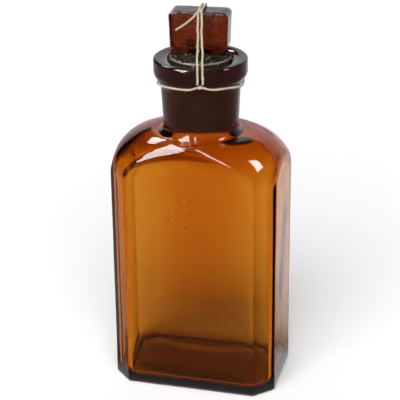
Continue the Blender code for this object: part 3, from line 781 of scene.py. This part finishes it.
def strand_half(turn, side):
    """Places on a strand's way from the knot on the neck to the tablet's top."""
    foot, rim = loop_height(turn) + NECK_KNOT_HEIGHT / 2 + STRING_GAP, MOUTH - LIP_EDGE_RADIUS
    lip, face = LIP_RADIUS + STRING_REACH, tablet_reach(turn)
    crown = TABLET_TOP + STRING_REACH
    wide, close = side * STRAND_GAP_AT_LIP / 2, side * STRAND_GAP_ON_TOP / 2
    spots = [(lip, wide, foot), (lip, wide, (foot + rim) / 2), (lip, wide, rim),
             (lip - STRING_RADIUS / 2, wide, MOUTH + STRING_RADIUS / 2),
             ((lip + face) / 2, (wide + close) / 2, (MOUTH + crown) / 2),
             (face, close, crown - STRING_DIAMETER), (face - STRING_RADIUS, close, crown)]
    return [beside(turn, *spot) for spot in spots]


def sway(route, seed):
    """How far a slack strand wanders to the side along its way."""
    length = way_along(route)
    ends = np.minimum(1, np.minimum(length, length[-1] - length) / (4 * STRING_DIAMETER))
    return SWAY * ends * (np.sin(length * 340 + seed * 2.1) + 0.6 * np.sin(length * 790 + seed))


def tie():
    parts = []
    for number, side in enumerate((-1, 1)):
        strand = strand_half(FRONT_TURN, side) + strand_half(BACK_TURN, -side)[::-1]
        route = smooth_route(strand, STRING_SPACING)
        route = route + np.outer(sway(route, number), beside(FRONT_TURN, 0, 1, 0))
        parts += twist(route, False, phase=number * 1.3) + fibres(route, 90, 11 + number)
    crown = TABLET_TOP + STRING_REACH
    place = around(FRONT_TURN, tablet_reach(FRONT_TURN) - STRING_RADIUS, crown + STRING_RADIUS / 2)
    depth = TOP_KNOT_HEIGHT / 2 - STRING_RADIUS * 0.6
    inner = (TOP_KNOT_WIDTH / 2 - STRING_RADIUS, depth, depth)
    for lobes, phase in ((3, 0.7), (2, 2.2)):
        parts += knot(place, inner, FRONT_TURN, 0.66, lobes, phase)
    height = mix(MOUTH - LIP_EDGE_RADIUS, loop_height(FRONT_TURN), BEAD_SHARE)
    bead = beside(FRONT_TURN, LIP_RADIUS + STRING_REACH, STRAND_GAP_AT_LIP / 2, height)
    parts += knot(bead, BEAD_SIZE, FRONT_TURN, 0.7)
    tail = [place, place - beside(STOPPER_TURN, 0, STRING_RADIUS, 0)]
    for over, down in TAIL_SHARES:
        tail.append(beside(STOPPER_TURN, TABLET_HALF + STRING_REACH, -TAIL_REACH * over,
                           crown - TAIL_REACH * down))
    route = smooth_route(tail, STRING_SPACING)
    body = route[:-5]
    parts += twist(body, False) + fibres(route, 30, 31)
    random = np.random.default_rng(3)
    along = (route[-1] - route[-6]) / np.linalg.norm(route[-1] - route[-6])
    for number in range(TAIL_THREADS):
        aside = random.normal(0, 0.22, 3)
        start = body[-1] + random.normal(0, STRING_RADIUS * 0.28, 3) - along * 0.0006
        end = start + (along + aside) * random.uniform(0.0014, 0.0023)
        path = smooth_route([start, (start + end) / 2 + random.normal(0, 0.00006, 3), end], 0.0003)
        parts.append(tube(path, np.linspace(*THREAD_RADII, len(path)), False, 5))
    return gather("tie", parts)


# Camera at the photo's viewpoint

CAMERA_PLACE = (0.18419, -0.69260, 0.41322)
CAMERA_YAW, CAMERA_PITCH, CAMERA_ROLL = 0.2614, 0.4107, -0.0107
FOCAL_PIXELS = 1450.43
PICTURE_PIXELS = 400
SENSOR_WIDTH = 36


def add_camera():
    data = bpy.data.cameras.new("camera")
    data.sensor_width = SENSOR_WIDTH
    data.lens = FOCAL_PIXELS / PICTURE_PIXELS * SENSOR_WIDTH
    data.clip_start, data.clip_end = 0.01, 20
    camera = bpy.data.objects.new("camera", data)
    camera.matrix_world = Matrix.Translation(CAMERA_PLACE)
    for turn, axis in ((CAMERA_YAW, "Z"), (RIGHT_ANGLE - CAMERA_PITCH, "X"), (CAMERA_ROLL, "Z")):
        camera.matrix_world = camera.matrix_world @ Matrix.Rotation(turn, 4, axis)
    bpy.context.scene.collection.objects.link(camera)
    bpy.context.scene.camera = camera


# Small helpers for shader nodes

WHITE = (1, 1, 1)
BLACK = (0, 0, 0)


def feed(fed, inputs):
    """Sets a node's inputs, each to a plain value or to the output that feeds it."""
    for name, value in inputs.items():
        socket = fed.inputs[name]
        if isinstance(value, bpy.types.NodeSocket):
            fed.id_data.links.new(value, socket)
        else:
            socket.default_value = (*value, 1) if socket.type == "RGBA" else value


def new_node(kind, inputs, near=None, **settings):
    """A new node, in the tree of the outputs that feed it or of the node near it."""
    known = [near] + [value for value in inputs.values() if isinstance(value, bpy.types.NodeSocket)]
    made = next(value for value in known if value).id_data.nodes.new("ShaderNode" + kind)
    for setting, value in settings.items():
        setattr(made, setting, value)
    feed(made, inputs)
    return made


def ranged(value, source=(0, 1), target=(0, 1), **settings):
    """The value carried from one range to another and kept within it."""
    ends = zip(("From Min", "From Max", "To Min", "To Max"), (*source, *target))
    return new_node("MapRange", {"Value": value, **dict(ends)}, **settings).outputs["Result"]


def combined(operation, first, second, **settings):
    return new_node("Math", {0: first, 1: second}, operation=operation, **settings).outputs["Value"]


def blended(factor, first, second, **settings):
    """The first colour where the factor is 0 and the second where it is 1."""
    inputs = {"Factor": factor, "A": first, "B": second}
    return new_node("Mix", inputs, data_type="RGBA", **settings).outputs["Result"]


def multiplied(*colours):
    product = colours[0]
    for colour in colours[1:]:
        product = blended(1.0, product, colour, blend_type="MULTIPLY")
    return product


def ramp(value, stops):
    made = new_node("ValToRGB", {"Fac": value})
    points = made.color_ramp.elements
    for point, (place, colour) in zip(points, (stops[0], stops[-1])):
        point.position, point.color = place, (*colour, 1)
    for place, colour in stops[1:-1]:
        points.new(place).color = (*colour, 1)
    return made.outputs["Color"]


def texture(kind, place, scale, **inputs):
    return new_node("Tex" + kind, {"Vector": place, "Scale": scale, **inputs}).outputs


def part_of(kind, source, part):
    """One part of a vector or a colour."""
    return new_node("Separate" + kind, {0: source}).outputs[part]


def bumped(height, strength, distance, **settings):
    inputs = {"Height": height, "Strength": strength, "Distance": distance}
    return new_node("Bump", inputs, **settings).outputs["Normal"]


def object_place(shader):
    return new_node("TexCoord", {}, shader).outputs["Object"]


def material(name):
    made = bpy.data.materials.new(name)
    made.use_nodes = True
    return made, made.node_tree.nodes["Principled BSDF"]


# Materials

GLASS_IOR = 1.5
GROUND_CLEAR = 0.12
GROUND_ROUGHNESS = 0.5
SPOT_EDGE = (1.1, 0.75)

# Colour and density of the bottle's glass and the colour of its ground faces
AMBER = (0.889, 0.646, 0.03)
AMBER_DENSITY = 660
AMBER_GROUND = (0.11, 0.19, 0.26)
NECK_SHADE = (0.80, 0.70, 0.68)
NECK_SHADE_HEIGHTS = (0.128, 0.1495)
# Place, size and turn of the two painted shades and of the cluster of specks, and what each lets through
# Painted shade: a near-black patch on the shoulder by the neck, standing in for a dark refraction in the thick
# glass
SHOULDER_PAINTED_SHADE = ((0.0212, -0.0080, 0.1369), (0.0100, 0.0046, 0.0035), radians(36))
SHOULDER_PAINTED_SHADE_TINT = (0.004, 0.004, 0.005)
# Painted shade: the front of the floor's glass darker and bluer, where the table under the bottle is in shadow
FLOOR_PAINTED_SHADE = ((0.0, -0.0160, 0.0040), (0.0370, 0.0065, 0.0025), radians(-4.4))
FLOOR_PAINTED_SHADE_TINT = (0.26, 0.34, 0.45)
SPECK_CLUSTER = ((0.0, -0.0290, 0.1055), (0.0150, 0.0030, 0.0100), 0)
SPECK_TINT = (0.30, 0.20, 0.16)
SPECK_SCALE = 300
SPECK_SIZE = (0.20, 0.10)
SPECK_PATCH_SCALE = 26
SPECK_PATCH_RANGE = (0.60, 0.68)

# The same for the stopper
RED_BROWN = (0.72, 0.43, 0.01)
RED_BROWN_DENSITY = 530
RED_BROWN_GROUND = (0.15, 0.13, 0.12)
RIPPLE_STRETCH = (0.35, 0.35, 1.6)
RIPPLE_SCALE = 420
# Strength and depth of the bumps
RIPPLE_BUMP = (0.5, 0.0005)
MOTTLE_RANGE = (0.38, 0.66)
MOTTLE_TINT = (0.70, 0.58, 0.45)
# Sideways and upwards on the tablet's front, and size
SPOT = ((-0.0038, TABLET_FOOT + 0.0056), (0.0030, 0.0008, 0.0025))
SPOT_TINT = (0.10, 0.08, 0.08)
CHIPS = ((0.0108, TABLET_TOP - 0.0010), (0.0060, 0.0025, 0.0016))
CHIP_TINT = (0.02, 0.02, 0.02)
CHIP_SCALE = 1600
CHIP_RANGE = (0.45, 0.6)
FRONT_ROUGHNESS = 0.08
BACK_ROUGHNESS = 0.32

CRUST_TONES = ((0.35, (0.010, 0.010, 0.009)), (0.75, (0.022, 0.021, 0.018)),
               (0.93, (0.055, 0.052, 0.043)), (1.0, (0.27, 0.26, 0.22)))
CRUST_RUST = (0.045, 0.018, 0.008)
CRUST_GRAIN_SCALE = 1300
CRUST_RUST_SCALE = 150
CRUST_RUST_SHARE = (-1.1, 1.3)
CRUST_BUMP = (0.9, 0.0004)
COTTON = (0.60, 0.53, 0.41)
COTTON_AGED = (0.45, 0.37, 0.25)
COTTON_TUFTS = (0.36, 0.30, 0.21)
COTTON_SCALES = (160, 2600)
COTTON_AGED_SHARE = (-0.5, 1.5)
COTTON_TUFTS_SHARE = (-0.6, 1.4)
COTTON_BUMP = (0.5, 0.0001)
COTTON_SHEEN = 0.3


def glass(name, colour, density):
    """Clear glass that is nearly opaque where it is ground. Its colour and roughness are still to be set."""
    made, shader = material(name)
    volume = new_node("VolumeAbsorption", {"Color": colour, "Density": density}, shader)
    feed(made.node_tree.nodes["Material Output"], {"Volume": volume.outputs["Volume"]})
    ground = new_node("Attribute", {}, shader, attribute_name="ground").outputs["Fac"]
    feed(shader, {"IOR": GLASS_IOR, "Transmission Weight": ranged(ground, target=(1, GROUND_CLEAR))})
    return made, shader, ground, object_place(shader)


def dark_spot(place, centre, size, turn):
    """1 within an ellipsoid in the glass, fading to 0 at its edge."""
    inputs = {"Vector": place, "Location": centre, "Rotation": (0, 0, turn), "Scale": size}
    flow = new_node("Mapping", inputs, vector_type="TEXTURE").outputs["Vector"]
    reach = new_node("VectorMath", {0: flow}, operation="LENGTH").outputs["Value"]
    return ranged(reach, SPOT_EDGE, interpolation_type="SMOOTHSTEP")


def bottle_material():
    """Amber glass, darker round the foot of the neck, with a few specks, a painted shade on the shoulder and a
    painted shade on the front of the floor.
    """
    made, shader, ground, place = glass("amber_glass", AMBER, AMBER_DENSITY)
    height = ranged(part_of("XYZ", place, "Z"), NECK_SHADE_HEIGHTS)
    band = ramp(height, ((0.0, WHITE), (0.6, NECK_SHADE), (0.85, NECK_SHADE), (1.0, WHITE)))
    # Painted shade: a near-black patch on the shoulder by the neck
    shoulder_painted_shade = blended(dark_spot(place, *SHOULDER_PAINTED_SHADE), WHITE, SHOULDER_PAINTED_SHADE_TINT)
    # Painted shade: the front of the floor's glass darker and bluer
    floor_painted_shade = blended(dark_spot(place, *FLOOR_PAINTED_SHADE), WHITE, FLOOR_PAINTED_SHADE_TINT)
    grains = ranged(texture("Voronoi", place, SPECK_SCALE)["Distance"], SPECK_SIZE)
    sparse = ranged(texture("Noise", place, SPECK_PATCH_SCALE)["Fac"], SPECK_PATCH_RANGE)
    where = combined("MAXIMUM", sparse, dark_spot(place, *SPECK_CLUSTER))
    specks = blended(combined("MULTIPLY", grains, where), WHITE, SPECK_TINT)
    clear = multiplied(band, shoulder_painted_shade, specks, floor_painted_shade)
    feed(shader, {"Base Color": blended(ground, clear, AMBER_GROUND),
                  "Roughness": ranged(ground, target=(0, GROUND_ROUGHNESS))})
    return made


def stopper_material():
    """Red-brown glass, mottled and rippled, with a dark spot low in the tablet and chips at its edge."""
    made, shader, ground, place = glass("red_brown_glass", RED_BROWN, RED_BROWN_DENSITY)
    flow = new_node("Mapping", {"Vector": place, "Scale": RIPPLE_STRETCH}).outputs["Vector"]
    ripples = texture("Noise", flow, RIPPLE_SCALE, Detail=4)["Fac"]
    mottle = blended(ranged(ripples, MOTTLE_RANGE), WHITE, MOTTLE_TINT)
    inside, edge = [dark_spot(place, beside(STOPPER_TURN, TABLET_HALF, *spot), size, STOPPER_TURN)
                    for spot, size in (SPOT, CHIPS)]
    flecks = part_of("Color", texture("Voronoi", place, CHIP_SCALE)["Color"], "Red")
    chips = combined("MULTIPLY", ranged(flecks, CHIP_RANGE), edge)
    clear = multiplied(mottle, blended(inside, WHITE, SPOT_TINT), blended(chips, WHITE, CHIP_TINT))
    polish = ranged(part_of("XYZ", place, "Y"), (TABLET_HALF - TABLET_TOP_CHAMFER, TABLET_HALF),
                    (FRONT_ROUGHNESS, BACK_ROUGHNESS))
    rough = combined("MAXIMUM", polish, ranged(ground, target=(0, GROUND_ROUGHNESS)))
    feed(shader, {"Base Color": blended(ground, clear, RED_BROWN_GROUND), "Roughness": rough,
                  "Normal": bumped(ripples, *RIPPLE_BUMP)})
    return made


def crust_material():
    made, shader = material("crust")
    place = object_place(shader)
    grains = texture("Voronoi", place, CRUST_GRAIN_SCALE)
    patches = ranged(texture("Noise", place, CRUST_RUST_SCALE, Detail=5)["Fac"], target=CRUST_RUST_SHARE)
    tone = ramp(part_of("Color", grains["Color"], "Red"), CRUST_TONES)
    feed(shader, {"Base Color": blended(patches, tone, CRUST_RUST), "Roughness": 1.0,
                  "Specular IOR Level": 0.0,
                  "Normal": bumped(grains["Distance"], *CRUST_BUMP, invert=True)})
    return made


def string_material():
    made, shader = material("cotton")
    place = object_place(shader)
    stains, tufts = [texture("Noise", place, scale, Detail=3)["Fac"] for scale in COTTON_SCALES]
    aged = blended(ranged(stains, target=COTTON_AGED_SHARE), COTTON, COTTON_AGED)
    tone = blended(ranged(tufts, target=COTTON_TUFTS_SHARE), aged, COTTON_TUFTS)
    feed(shader, {"Base Color": tone, "Roughness": 0.9, "Sheen Weight": COTTON_SHEEN,
                  "Normal": bumped(tufts, *COTTON_BUMP)})
    return made


# Light, floor and studio. Directions are in degrees: azimuth from behind the bottle, and elevation

WORLD_LEVEL = 0.3
# Height of a direction's tip and the sky's level there, as seen through glass
SKY_LEVELS = ((0.0, 0.9), (0.09, 0.5), (0.17, 0.3), (0.26, 0.2), (0.275, 0.8), (0.325, 0.8), (0.34, 0.15),
              (1.0, 0.05))
# Direction of each patch of the sky, where it starts to fade and ends, and its level
SKY_PATCHES = (((-17, 9), (7, 10), 0.65), ((2, 10), (9, 13), 1.0), ((-38, 14), (8.5, 10.5), 0.0))
SUN_LEVEL = 0.7
SUN_PLACE = (175, 38)
SUN_WIDTH = 60
FLOOR_SIZE = 6
FLOOR_DROP = 0.0002
FLOOR_WHITE = (0.93, 0.93, 0.93)
FLOOR_GLOW = 0.10
# Where the floor's glow begins and is full, in half widths and half depths of the body. Nearer the bottle the glow
# is left out, a painted shadow on the floor under and round it
FLOOR_PAINTED_SHADOW_REACH = (0.75, 1.3)

PANEL_DISTANCE = 1.2
PANEL_CENTRE = 0.14
LEFT_LEVEL, FAR_LEVEL, RIGHT_LEVEL, STRIP_LEVEL = 14, 9, 17, 14
STRIP_WIDTH = 2.4
# Corners of the panels of light, along one edge and back along the other
LEFT_PANEL = ((-156, -8), (-158, 5), (-158, 22), (-157, 36), (-154, 47), (-143, 64), (-105, 72), (-63, 73),
              (-22, 49), (-24, 44), (-34, 52), (-55, 59), (-75, 61), (-93, 55), (-116, 43), (-130, 32),
              (-140, 20), (-147, 3))
FAR_PANEL = ((-56, 46), (-44, 41), (-34, 36), (-27, 31), (-23, 28), (-22, 31), (-25, 35), (-32, 42), (-42, 47),
             (-54, 52))
RIGHT_PANEL = ((94, 55.5), (80, 49), (85, 33), (104, 32.5))
CEILING_STRIP = ((-36, 64), (-39, 68), (-54, 76), (-91, 81), (-139, 79), (-166, 66), (-170, 58), (-174, 45),
                 (-176, 32), (-177, 19), (-176.5, 8), (-177, -2))

ROOM_LEVEL = 0.02
ROOM_REACH = 1.9
ROOM_FLOOR_GAP = 0.0004
NEAR_FLOOR_LEVEL = 0.7
NEAR_FLOOR_REACH = 0.016
LOW_ELEVATION = -10
# Reach, height and share of the backdrop's level of the rings on the room's floor
ROOM_FLOOR = ((0.08, 0.0, 1.5), (0.12, 0.001, 1.4), (0.2, 0.001, 1.15), (0.28, 0.001, 0.95), (0.45, 0.0012, 0.75),
              (0.9, 0.002, 0.8), (1.7, 0.02, 1.0))
# By azimuth: the backdrop's level and the elevation of its top
BACKDROP_LEVELS = ((-180, 0.08), (-130, 0.08), (-105, 0.15), (-72, 0.40), (-45, 0.55), (-20, 0.85), (0, 1.0),
                   (10, 1.0), (20, 0.85), (35, 0.45), (60, 0.15), (100, 0.06), (180, 0.08))
BACKDROP_TOPS = ((-56, -5), (-51, 3), (-49.5, 19), (-38, 24), (-27, 23), (-21, 23), (-19, 29), (-10, 36), (30, 38),
                 (45, 30), (60, 24))
# By elevation: the share of the level that is left
BACKDROP_FADE = ((14, 1), (38, 0.6))
BACKDROP_EDGE = ((-0.6, 1), (0.6, 0))
RAIL_TURNS = (-9.5, 7.5)
RAIL_RISES = (9.5, 13.5)


def direction(azimuth, elevation):
    """Azimuth from behind the bottle, turning to its right, and elevation, both in degrees."""
    turn, rise = radians(azimuth), radians(elevation)
    return Vector((sin(turn) * cos(rise), cos(turn) * cos(rise), sin(rise)))


def seen_directly(shader):
    """1 for rays from the camera, in reflections and through glass, 0 for the light on surfaces."""
    path = new_node("LightPath", {}, shader).outputs
    seen = combined("ADD", path["Is Camera Ray"], path["Is Glossy Ray"])
    return combined("ADD", seen, path["Is Transmission Ray"], use_clamp=True)


def add_world():
    """An even light, in place of which glass shows a sky that is pale low down."""
    world = bpy.data.worlds.new("studio")
    bpy.context.scene.world = world
    world.use_nodes = True
    background = world.node_tree.nodes["Background"]
    place = new_node("TexCoord", {}, background).outputs["Generated"]
    sky = ramp(part_of("XYZ", place, "Z"), [(height, (level,) * 3) for height, level in SKY_LEVELS])
    for spot, reach, level in SKY_PATCHES:
        away = new_node("VectorMath", {0: place, 1: direction(*spot)}, operation="DISTANCE").outputs["Value"]
        outside = ranged(away, [radians(angle) for angle in reach])
        sky = new_node("Mix", {"Factor": outside, "A": level, "B": sky}).outputs["Result"]
    through = new_node("LightPath", {}, background).outputs["Is Transmission Ray"]
    shown = new_node("Mix", {"Factor": through, "A": 1.0, "B": sky}).outputs["Result"]
    strength = ranged(seen_directly(background), target=(WORLD_LEVEL, shown))
    feed(background, {"Color": WHITE, "Strength": strength})


def add_floor():
    bpy.ops.mesh.primitive_plane_add(size=FLOOR_SIZE, location=(0, 0, -FLOOR_DROP))
    floor = bpy.context.active_object
    floor.name = "floor"
    made, shader = material("floor_white")
    flat = new_node("Mapping", {"Vector": object_place(shader), "Scale": (2 / BODY_WIDTH, 2 / BODY_DEPTH, 0)})
    away = new_node("VectorMath", {0: flat.outputs["Vector"]}, operation="LENGTH").outputs["Value"]
    # Painted shadow: the floor's glow fades out under and round the bottle, so the floor there is darker
    glow = ranged(away, FLOOR_PAINTED_SHADOW_REACH, (0, FLOOR_GLOW))
    feed(shader, {"Base Color": FLOOR_WHITE, "Roughness": 1.0, "Specular IOR Level": 0.0,
                  "Emission Color": WHITE, "Emission Strength": combined("MULTIPLY", seen_directly(shader), glow)})
    floor.data.materials.append(made)


def light(name, vertices, faces, strength, smooth=False):
    """A mesh of light that only reflections show. Gives its object and its shader."""
    thing = new_object(name, vertices, faces, smooth)
    made, shader = material(name)
    feed(shader, {"Base Color": BLACK, "Specular IOR Level": 0.0, "Emission Color": WHITE,
                  "Emission Strength": strength})
    thing.data.materials.append(made)
    for ray in ("camera", "diffuse", "transmission", "volume_scatter", "shadow"):
        setattr(thing, "visible_" + ray, False)
    return thing, shader


def light_panel(name, corners, strength):
    """A panel of light between directions from the bottle's shoulder."""
    edge = [direction(*corner) * PANEL_DISTANCE + Vector((0, 0, PANEL_CENTRE)) for corner in corners]
    last = len(edge) - 1
    light(name, edge, [(index, index + 1, last - 1 - index, last - index) for index in range(last // 2)], strength)


def light_strip(name, line, width, strength):
    """A narrow ribbon of light along a line of directions, as wide as so many degrees."""
    centres = smooth_route([direction(*spot) for spot in line], 0.04)
    aside = np.cross(np.gradient(centres, axis=0), centres)
    aside *= radians(width) / 2 / np.linalg.norm(aside, axis=1)[:, None]
    vertices = np.concatenate([centres + aside, centres - aside]) * PANEL_DISTANCE + (0, 0, PANEL_CENTRE)
    count = len(centres)
    faces = [(index, index + 1, count + index + 1, count + index) for index in range(count - 1)]
    light(name, vertices, faces, strength)


def backdrop_level(azimuth, elevation):
    """How bright the studio is in a direction: pale behind and low, unlit in front and above."""
    if RAIL_TURNS[0] < azimuth < RAIL_TURNS[1] and RAIL_RISES[0] < elevation < RAIL_RISES[1]:
        return ROOM_LEVEL
    level = read_off(BACKDROP_LEVELS, azimuth) * read_off(BACKDROP_FADE, elevation)
    return mix(ROOM_LEVEL, level, read_off(BACKDROP_EDGE, elevation - read_off(BACKDROP_TOPS, azimuth)))


def room():
    """The studio round the bottle as reflections show it."""
    turns = [-180 + 360 * share for share in steps(360)[:-1]]
    angle = np.array([radians(90 - turn) for turn in turns])
    rings, levels = [], []

    def add(radius, height, shown):
        rings.append(ring_at(angle, radius, height))
        levels.extend(shown)

    low = [backdrop_level(turn, LOW_ELEVATION) for turn in turns]
    for reach, shown in ((ROOM_FLOOR_GAP, [NEAR_FLOOR_LEVEL] * len(turns)), (NEAR_FLOOR_REACH, low)):
        add(wall_radius(angle, -reach, WALL_POWER), -ROOM_FLOOR_GAP / 4, shown)
    for reach, height, share in ROOM_FLOOR:
        add(reach, height, [share * level for level in low])
    for rise in (*range(1, 41), 50, 65, 80):
        add(ROOM_REACH * cos(radians(rise)), ROOM_REACH * sin(radians(rise)),
            [backdrop_level(turn, rise) for turn in turns])
    walls, shader = light("room", *skin(rings, None, (0, 0, ROOM_REACH)), 1.0, smooth=True)
    add_values(walls, "level", [*levels, backdrop_level(0, 90)])
    feed(shader, {"Emission Strength": new_node("Attribute", {}, shader, attribute_name="level").outputs["Fac"]})


def add_sun():
    data = bpy.data.lights.new("sun", "SUN")
    data.energy = SUN_LEVEL * pi / direction(*SUN_PLACE).z
    data.angle = radians(SUN_WIDTH)
    sun = bpy.data.objects.new("sun", data)
    sun.rotation_euler = direction(*SUN_PLACE).to_track_quat("Z", "Y").to_euler()
    sun.visible_glossy = sun.visible_transmission = False
    bpy.context.scene.collection.objects.link(sun)


bpy.context.scene.view_settings.view_transform = "Standard"
add_camera()
add_world()
add_floor()
add_sun()
room()
light_panel("left_panel", LEFT_PANEL, LEFT_LEVEL)
light_panel("far_panel", FAR_PANEL, FAR_LEVEL)
light_panel("right_panel", RIGHT_PANEL, RIGHT_LEVEL)
light_strip("ceiling_strip", CEILING_STRIP, STRIP_WIDTH, STRIP_LEVEL)
bottle = make_bottle()
bottle.data.materials.append(bottle_material())
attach(bottle, "bottle")
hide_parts("bottle")
stopper = make_stopper()
stopper.data.materials.append(stopper_material())
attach(stopper, "stopper")
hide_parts("stopper")
crust = crust_material()
for piece, body, slot in ((make_crust(), "stopper", "stopper_glass"),
                          (make_mouth_crust(), "bottle", "bottle_glass")):
    piece.data.materials.append(crust)
    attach(piece, body)
cotton = string_material()
for piece, body, node in ((neck_loop(), "bottle", "neck_string"), (tie(), "stopper", "tie_string")):
    piece.data.materials.append(cotton)
    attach(piece, body)
    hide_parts(node)
